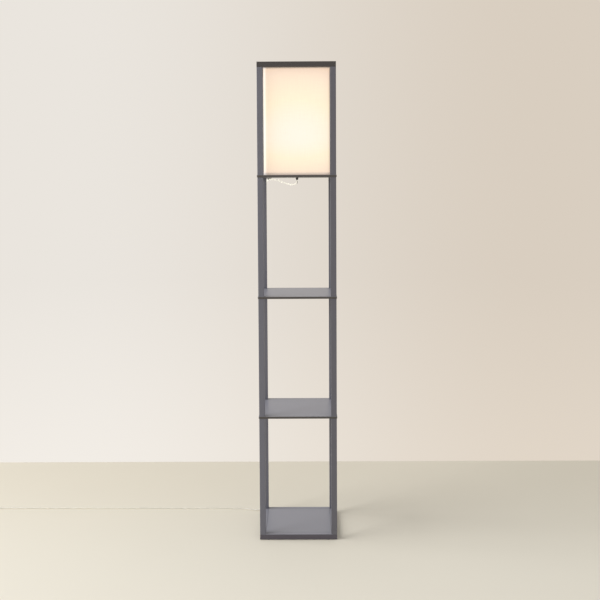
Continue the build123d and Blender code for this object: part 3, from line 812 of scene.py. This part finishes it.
def cut_across(place: Sequence[float], way: Sequence[float], **settings: object) -> None:
    """Cuts the mesh in edit mode along the plane through a place and square to a way."""
    bpy.ops.mesh.select_all(action="SELECT")
    bpy.ops.mesh.bisect(plane_co=place, plane_no=way, **settings)


def settle(name: str) -> Object:
    """Leaves edit mode, names the piece and puts its place into its mesh.

    Args:
        name: The piece's name.

    Returns:
        The finished piece.
    """
    piece = bpy.context.object
    if piece.mode != "OBJECT":
        bpy.ops.object.mode_set(mode="OBJECT")
    fix_place()
    piece.name = name
    piece.data.name = name
    return piece


def thicken(piece: Object, thickness: float) -> None:
    """Gives a skin a thickness inwards.

    Args:
        piece: The skin, which is the active object.
        thickness: The thickness.
    """
    modifier = piece.modifiers.new("solidify", "SOLIDIFY")
    modifier.thickness = thickness
    modifier.offset = -1.0
    bpy.ops.object.modifier_apply(modifier=modifier.name)


# ---------------- camera, light and floor


@dataclass(frozen=True)
class SoftLamp:
    """A square soft lamp, with its side in metres and its power in watts."""

    name: str
    place: Point
    target: Point
    side: float
    power: float
    tint: Colour

    def hang(self) -> None:
        """Hangs the lamp, turned to its target."""
        data = bpy.data.lights.new(self.name, "AREA")
        data.size = self.side
        data.energy = self.power
        data.color = self.tint
        lamp = add_to_scene(self.name, data)
        lamp.location = self.place
        aim = Vector(self.target) - Vector(self.place)
        lamp.rotation_euler = aim.to_track_quat("-Z", "Y").to_euler()


@dataclass
class Studio:
    """Camera at the photograph's place, soft light from the left, a plain wall and floor."""

    camera_place: Point = (0.0278, -3.092, 1.1928)
    pan: float = math.radians(0.352)
    tilt: float = math.radians(-3.445)
    roll: float = math.radians(0.288)
    focal_pixels: float = 896.6
    frame_pixels: float = 600.0
    principal_row: float = 240.0
    sensor: float = 36.0
    lamps: tuple[SoftLamp, ...] = (
        SoftLamp("window_light", (-5.6, -1.4, 4.4), (0, 0, 0.7), 5.5, 445.0, (0.98, 0.99, 1.0)),
        SoftLamp("front_light", (-1.6, -4.2, 2.6), (0, 0, 0.8), 2.2, 5.0, (1.0, 0.99, 0.98)),
    )
    air: Colour = (1.0, 0.995, 0.985)
    air_strength: float = 0.6
    wall_left: Colour = screen_colour(234, 229, 222)
    wall_right: Colour = screen_colour(217, 206, 192)
    wall_reach: float = 0.26
    wall_foot: tuple[float, float] = (-0.10, -0.28)
    wall_foot_gain: float = 1.08
    floor_half: float = 14.0
    floor_span: tuple[float, float] = (-16.0, 0.733)

    def place_camera(self) -> None:
        """Sets the scene's camera to the photograph's view."""
        data = bpy.data.cameras.new("camera")
        data.sensor_width = self.sensor
        data.lens = self.sensor * self.focal_pixels / self.frame_pixels
        data.shift_y = (self.principal_row - self.frame_pixels / 2) / self.frame_pixels
        camera = add_to_scene("camera", data)
        turn = (
            Matrix.Rotation(self.pan, 4, "Z")
            @ Matrix.Rotation(math.pi / 2 + self.tilt, 4, "X")
            @ Matrix.Rotation(-self.roll, 4, "Z")
        )
        camera.matrix_world = Matrix.Translation(self.camera_place) @ turn
        bpy.context.scene.camera = camera

    def light(self) -> None:
        """Hangs the lamps, sets the world's light, and shows the wall where the world is seen."""
        for lamp in self.lamps:
            lamp.hang()
        world = bpy.data.worlds.new("world")
        world.use_nodes = True
        bpy.context.scene.world = world
        made = TreeBuilder(world.node_tree)
        lit = made.fill(made.tree.nodes["Background"], (*self.air, 1), self.air_strength)
        wall = made.fill(made.node("ShaderNodeBackground"), self._wall_colour(made), 1.0)
        path = made.node("ShaderNodeLightPath").outputs
        seen = made.maths("MAXIMUM", path["Is Camera Ray"], path["Is Glossy Ray"])
        seen = made.maths("MAXIMUM", seen, path["Is Transmission Ray"])
        surface = made.fill(made.node("ShaderNodeMixShader"), seen, lit, wall)
        made.feed(made.tree.nodes["World Output"].inputs["Surface"], surface)

    def _wall_colour(self, made: TreeBuilder) -> NodeSocket:
        """Colours the plain wall, paler on the side of the window and at its foot.

        Args:
            made: The world's nodes.

        Returns:
            The socket that gives the colour.
        """
        x, _, z = made.axes(made.node("ShaderNodeTexCoord").outputs["Generated"])
        right = made.share(x, -self.wall_reach, self.wall_reach, smooth=True)
        foot = made.share(z, *self.wall_foot, 1.0, self.wall_foot_gain)
        colour = made.blended(self.wall_left, self.wall_right, right)
        return made.vectors("SCALE", colour, Scale=foot)

    def lay_floor(self, shop: PaintShop) -> None:
        """Lays a plain pale floor, which is a stage and not part of the lamp.

        Args:
            shop: What dresses it.
        """
        near, far = self.floor_span
        start_from(bpy.ops.mesh.primitive_plane_add, size=1, location=(0, (near + far) / 2, 0))
        bpy.ops.transform.resize(value=(2 * self.floor_half, far - near, 1))
        floor = settle("floor")
        shop.coat(floor, "floor")


# ---------------- mains cord


@dataclass
class MainsCord:
    """Clear mains cord: sag under the deck, drop behind a post, the floor run and coil to the
    plug.
    """

    radius: float = 2.2 * MM
    mouth_z: float = 1218.6 * MM
    deck_z: float = 1217.5 * MM
    clip_x: float = -101.5 * MM
    post_x: float = -120.5 * MM
    back_y: float = 134.5 * MM
    slack: float = 2.0 * MM
    clip_run: float = 18.0 * MM
    clip_heights: tuple[float, ...] = tuple((1150.0 - 216.0 * k) * MM for k in range(6))
    floor_z: float = 2.3 * MM
    coil_start_radius: float = 31.0 * MM
    coil_pitch: float = 5.0 * MM
    coil_dip: float = 1.2 * MM
    coil_exit: float = 5.0 * MM
    coil_low_z: float = 3.15 * MM
    turns_in: float = 1.5
    turns_out: float = 1.25
    points_per_turn: int = 16
    round_steps: int = 4
    length_steps: int = 6
    declared_length: float = 3.002

    def sag(self) -> list[Vector]:
        """Points from the bushing under the deck to the back of the rear left post.

        Returns:
            The points.
        """
        mouth, deck, clip = self.mouth_z / MM, self.deck_z / MM, self.clip_x / MM
        points = [
            (0, 0, mouth), (0, 0, 1211.0), (-2.7, 2.6, 1204.1), (-7.4, 7.0, 1200.0),
            (-17.6, 16.6, 1197.6), (-32.0, 30.3, 1199.6), (-48.5, 46.0, 1206.3),
            (-68.0, 64.5, 1213.0), (-87.0, 81.5, 1217.0), (clip, 103.0, deck),
            (clip, 125.5, deck), (-104.8, 138.0, 1216.4), (-112.0, 144.5, 1209.5),
            (-118.5, 143.0, 1196.5),
        ]
        return [Vector(point) * MM for point in points]

    def drop(self) -> list[Vector]:
        """Points down the back of the post, straight through each clip and slack between them.

        Returns:
            The points.
        """
        spots = []
        for upper, lower in zip(self.clip_heights, (*self.clip_heights[1:], None)):
            spots += [(0, upper + self.clip_run), (0, upper - self.clip_run)]
            if lower is not None:
                free = (upper - lower - 2 * self.clip_run) / 3
                spots += [(self.slack, upper - self.clip_run - step * free) for step in (1, 2)]
        return [Vector((self.post_x, self.back_y + out, z)) for out, z in spots]

    def floor_run(self) -> list[Vector]:
        """Points from the post's foot along the floor to the coil's start.

        Returns:
            The points.
        """
        low, coil = self.floor_z / MM, self.coil_low_z / MM
        points = [
            (-127.0, 137.0, 22.0), (-148.0, 140.0, 4.0), (-181.0, 153.5, low),
            (-222.0, 163.2, low), (-268.0, 163.6, low), (-1068.0, 169.9, coil),
            (-1112.0, 170.2, coil), (-1174.0, 166.4, coil),
        ]
        return [Vector(point) * MM for point in points]

    def coil_place(self, angle: float, end: float, climb: float) -> Vector:
        """A place on the coil about its own axis.

        Args:
            angle: The angle along the winding, in radians.
            end: The angle at which the winding ends.
            climb: The angle at which it climbs to its upper layer.

        Returns:
            The place.
        """
        landing = climb + math.pi
        small = self.coil_start_radius - self.coil_pitch * self.turns_in
        if angle <= climb:
            radius = small + self.coil_pitch * (climb - angle) / math.tau
            height = self.coil_low_z
        elif angle < landing:
            part = (angle - climb) / math.pi
            ease = 16 * (part * (1 - part)) ** 2
            lean = self.coil_pitch / 4 * (1 - 2 * part) * part * (1 - part)
            radius = small - self.coil_dip * ease - lean
            height = self.coil_low_z + self.coil_pitch * part**2 * (3 - 2 * part)
        else:
            opening = max(0.0, 1 - (end - angle) / (math.pi / 2))
            spread = self.coil_pitch * (angle - landing) / math.tau
            radius = small + spread + self.coil_exit * opening**2
            height = self.coil_low_z + self.coil_pitch
        return Vector((radius * math.cos(angle), radius * math.sin(angle), height))

    def coil(self, before: Vector, start: Vector) -> list[Vector]:
        """Points round the coil, carried on from the floor run.

        Args:
            before: The point before the coil's start.
            start: The point at which the floor run ends.

        Returns:
            The coil's points, to the plug's strain relief.
        """
        drift = math.atan(self.coil_pitch / (math.tau * self.coil_start_radius))
        first = math.pi / 2 - drift
        climb = first + math.tau * self.turns_in
        end = climb + math.pi + math.tau * self.turns_out
        count = round((end - first) / math.tau * self.points_per_turn)
        step = (end - first) / count
        # A control point stands a little outside the round that its spline follows
        swell = 1 / (0.75 + 0.25 * math.cos(step))
        points = []
        for k in range(count + 1):
            place = self.coil_place(first + step * k, end, climb)
            grow = 1.0 if k in (0, count) else swell
            points.append(Vector((place.x * grow, place.y * grow, place.z)))
        tiny = 1e-4
        enter = self.coil_place(first + tiny, end, climb) - self.coil_place(first, end, climb)
        leave = self.coil_place(end, end, climb) - self.coil_place(end - tiny, end, climb)
        straight = 2 * self.radius
        tail = points[-1] + leave.normalized() * straight
        entry = points[0] - enter.normalized() * straight
        heading = start - before
        swing = math.atan2(heading.y, heading.x) - math.atan2(enter.y, enter.x)
        turn = Matrix.Rotation(swing, 4, "Z")
        shift = start - turn @ entry
        shift.z = 0
        return [turn @ point + shift for point in (*points, tail)]

    def build(self, shop: PaintShop) -> None:
        """Args:
            shop: What dresses it.
        """
        route = self.sag() + self.drop() + self.floor_run()
        route += self.coil(route[-2], route[-1])
        data = bpy.data.curves.new("mains_cord", "CURVE")
        data.dimensions = "3D"
        data.bevel_depth = self.radius
        data.bevel_resolution = self.round_steps
        data.resolution_u = self.length_steps
        spline = data.splines.new("NURBS")
        spline.points.add(len(route) - 1)
        for point, place in zip(spline.points, route):
            point.co = (*place, 1)
        spline.order_u = 3
        spline.use_endpoint_u = True
        cord = add_to_scene("mains_cord", data)
        shop.coat(cord, "vinyl")
        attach(cord, STAND)
        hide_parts("cord_lead", "cord_coil")


# ---------------- fabric shade


@dataclass
class FabricShade:
    """Square shade of pale cloth with round corners and turned hems."""

    thickness: float = 0.48 * MM
    corner: float = 8.0 * MM
    corner_steps: int = 6
    hem: float = 8.0 * MM
    hem_stand: float = 0.5 * MM
    draw_in: float = 1.2 * MM
    seam_lap: float = 10.0 * MM
    rows: int = 24
    hem_rows: int = 2
    columns: int = 12

    def build(self, shop: PaintShop) -> None:
        """Makes the cloth and its hems.

        Args:
            shop: What dresses them.
        """
        low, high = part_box("shade_fabric")
        side = high[0] - low[0]
        cloth = self._tube("shade_cloth", side, low[2], high[2], self.rows, self.draw_in)
        thicken(cloth, self.thickness)
        shop.coat(cloth, "cloth")
        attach(cloth, STAND)
        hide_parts("shade_fabric")
        grown = side + 2 * self.hem_stand
        for name, foot in (("shade_hem_lower", low[2]), ("shade_hem_upper", high[2] - self.hem)):
            hem = self._tube(name, grown, foot, foot + self.hem, self.hem_rows, 0.0)
            thicken(hem, 2 * self.hem_stand)
            shop.coat(hem, "hem")
            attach(hem, STAND)

    def _tube(
        self, name: str, side: float, low: float, high: float, rows: int, draw_in: float
    ) -> Object:
        """A square tube of cloth with round corners and a measure of its own.

        Args:
            name: The piece's name.
            side: Its side.
            low: Its lower edge's height.
            high: Its upper edge's height.
            rows: How many rows of faces stand over each other.
            draw_in: How far the cloth draws in between its rings.

        Returns:
            The piece.
        """
        flat_half = side / 2 - self.corner
        middle = (0, 0, (low + high) / 2)
        size = (side, side, high - low)
        start_from(bpy.ops.mesh.primitive_cube_add, size=1, location=middle, scale=size)
        fix_place()
        bpy.ops.object.mode_set(mode="EDIT")
        pick(Part.FACES, lambda face: abs(face.normal.z) > 0.5)
        bpy.ops.mesh.delete(type="ONLY_FACE")
        pick(Part.EDGES, lambda edge: rise(edge) > HAIR)
        bpy.ops.mesh.bevel(offset=self.corner, segments=self.corner_steps, affect="EDGES")
        for k in range(1, rows):
            cut_across((0, 0, low + (high - low) * k / rows), (0, 0, 1))
        for way in ((1, 0, 0), (0, 1, 0)):
            for k in range(1, self.columns):
                cut_across(Vector(way) * (flat_half * (2 * k / self.columns - 1)), way)
        bpy.ops.mesh.select_all(action="SELECT")
        bpy.ops.mesh.normals_make_consistent(inside=False)
        piece = settle(name)
        self._measure(piece, flat_half)
        for vertex in piece.data.vertices:
            up = (vertex.co.z - low) / (high - low)
            hold = 1 - (2 * up - 1) ** 2
            for axis, other in ((0, 1), (1, 0)):
                if abs(vertex.co[axis]) > side / 2 - HAIR:
                    across = max(0.0, 1 - (vertex.co[other] / flat_half) ** 2)
                    vertex.co[axis] -= math.copysign(draw_in * hold * across, vertex.co[axis])
        bpy.ops.object.shade_smooth_by_angle(angle=SMOOTH_ANGLE)
        return piece

    def _measure(self, piece: Object, flat_half: float) -> None:
        """Gives the cloth a map of its own: metres round it and metres up it.

        Args:
            piece: The cloth.
            flat_half: Half the width of its flat sides.
        """
        layer = piece.data.uv_layers.active or piece.data.uv_layers.new(name="cloth")
        quarter = 2 * flat_half + self.corner * math.pi / 2
        # A face that lies right between two sides goes to the earlier one
        tie = 1e-6
        for face in piece.data.polygons:
            centre = face.center
            turn = round(math.atan2(centre.y, centre.x) / (math.pi / 2) - tie)
            back = Matrix.Rotation(-turn * math.pi / 2, 3, "Z")
            for loop in face.loop_indices:
                place = back @ piece.data.vertices[piece.data.loops[loop].vertex_index].co
                over = abs(place.y) - flat_half
                along = min(abs(place.y), flat_half)
                if over > HAIR:
                    along += self.corner * math.asin(min(1.0, over / self.corner))
                layer.data[loop].uv = (turn * quarter + math.copysign(along, place.y), place.z)


# ---------------- lamp


@dataclass
class Bulb:
    """The bulb's frosted globe, a smooth ball that is cut off over its body."""

    radius: float = 31.0 * MM
    centre_up: float = 91.0 * MM
    around: int = 48
    rings: int = 28
    foot_edge: float = 1.2 * MM
    foot_depth: float = 1.0 * MM

    def build(self, shop: PaintShop) -> None:
        """Makes the globe.

        Args:
            shop: What dresses it.
        """
        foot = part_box("bulb_globe")[0][2]
        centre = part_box("bulb_cap")[0][2] + self.centre_up
        start_ball(self.radius, self.around, self.rings, (0, 0, centre))
        fix_place()
        bpy.ops.object.mode_set(mode="EDIT")
        cut_across((0, 0, foot), (0, 0, 1), clear_inner=True, use_fill=True)
        pick(Part.FACES, lambda face: all(abs(end.co.z - foot) < HAIR for end in face.verts))
        bpy.ops.mesh.inset(thickness=self.foot_edge)
        bpy.ops.mesh.extrude_region_move(TRANSFORM_OT_translate={"value": (0, 0, self.foot_depth)})
        globe = settle("bulb_glass")
        bpy.ops.object.shade_smooth_by_angle(angle=SMOOTH_ANGLE)
        shop.coat(globe, "globe")
        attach(globe, STAND)
        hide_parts("bulb_globe")


@dataclass
class PullChain:
    """Pull chain of round beads on a thin link, with a bell-shaped end."""

    bead_radius: float = 1.2 * MM
    bead_around: int = 14
    bead_rings: int = 8
    beads: int = 11
    link_radius: float = 0.4 * MM
    link_sides: int = 10
    link_sunk: float = 0.5 * MM
    end_radius: float = 1.4 * MM
    end_length: float = 6.0 * MM
    end_sides: int = 20
    end_taper: float = 0.55
    end_round: float = 0.35 * MM
    smooth_angle: float = math.radians(50)

    def build(self, shop: PaintShop) -> None:
        """Makes the chain's beads, link and end as one piece.

        Args:
            shop: What dresses it.
        """
        low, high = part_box("pull_chain")
        x, y = (low[0] + high[0]) / 2, (low[1] + high[1]) / 2
        neck, top = low[2] + self.end_length, high[2]
        pitch = (top - neck) / self.beads
        bead = (self.bead_radius, self.bead_around, self.bead_rings)
        parts = [start_ball(*bead, (x, y, neck + (k + 0.5) * pitch)) for k in range(self.beads)]
        foot = neck - self.link_sunk
        link = (self.link_radius, self.link_sides, top - foot)
        parts.append(start_rod(*link, (x, y, (foot + top) / 2)))
        parts.append(self._end((x, y, low[2] + self.end_length / 2)))
        start_fresh()
        for part in parts:
            part.select_set(True)
        bpy.context.view_layer.objects.active = parts[0]
        bpy.ops.object.join()
        chain = settle("bead_chain")
        bpy.ops.object.shade_smooth_by_angle(angle=self.smooth_angle)
        shop.coat(chain, "bronze")
        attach(chain, PULL_SWITCH)
        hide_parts("pull_chain")

    def _end(self, middle: Point) -> Object:
        """The chain's crimped end.

        Args:
            middle: The place of its middle.

        Returns:
            The end.
        """
        end = start_rod(self.end_radius, self.end_sides, self.end_length, middle)
        bpy.ops.object.mode_set(mode="EDIT")
        pick(Part.FACES, lambda face: face.normal.z > 0.9)
        bpy.ops.transform.resize(value=(self.end_taper, self.end_taper, 1))
        pick(Part.EDGES, lambda edge: rise(edge) < HAIR)
        bpy.ops.mesh.bevel(offset=self.end_round, segments=3, affect="EDGES")
        bpy.ops.object.mode_set(mode="OBJECT")
        fix_place()
        return end


# ---------------- the frame's own nodes


@dataclass
class DressedNodes:
    """Finishes for the nodes that keep the shape they have in the frame."""

    # The first row that has the start of a node's name gives its finish
    by_start: tuple[tuple[str, tuple[str, ...]], ...] = (
        # The front right posts take the darker post paint, which is painted shade
        ("shaded_post", tuple(f"{tier}_post_front_right" for tier in TIERS)),
        ("post", tuple(f"{tier}_post" for tier in TIERS)),
        ("rail_x", ("base_rail_front", "base_rail_rear")),
        ("rail_y", ("base_rail",)),
        ("dowel", ("top_rail_dowels", "base_dowels", "top_post_dowels")),
        ("top_x", ("top_rail_front", "top_rail_rear")),
        ("top_y", ("top_rail",)),
        ("shelf", ("base_panel", "lower_shelf", "middle_shelf", "lamp_deck")),
        ("steel", ("base_screws", "post_studs", "nipple", "threaded_nipple")),
        ("brass", ("post_inserts", "screw_shell", "centre_contact", "plug_blades")),
        ("nickel", ("bulb_cap",)),
        ("white", ("shade_top_ring", "shade_carrier", "bulb_body", "cord_tie")),
        ("dark", ("holder", "switch_slider", "chain_guide", "cord_clips")),
        ("vinyl", ("cord_bushing", "cord_inner", "plug_body")),
        ("felt", ("foot_pads",)),
    )

    def dress(self, nodes: dict[str, Object], shop: PaintShop) -> None:
        """Puts its finish on each node, but for those that a piece stands for.

        Args:
            nodes: The frame's nodes by name.
            shop: What dresses them.
        """
        for name, node in nodes.items():
            for finish, starts in self.by_start:
                if name.startswith(starts):
                    shop.coat(node, finish)
                    break


def main() -> None:
    """Builds the scene in order: frame, camera, cord, shade, lamp, finishes, light and floor."""
    logging.basicConfig(level=logging.INFO, format="%(name)s: %(message)s")
    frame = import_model()
    bpy.context.scene.view_settings.view_transform = "Standard"
    shop = PaintShop()
    studio = Studio()
    studio.place_camera()
    MainsCord().build(shop)
    FabricShade().build(shop)
    Bulb().build(shop)
    PullChain().build(shop)
    DressedNodes().dress(frame["nodes"], shop)
    studio.light()
    studio.lay_floor(shop)


if __name__ == "__main__":
    main()
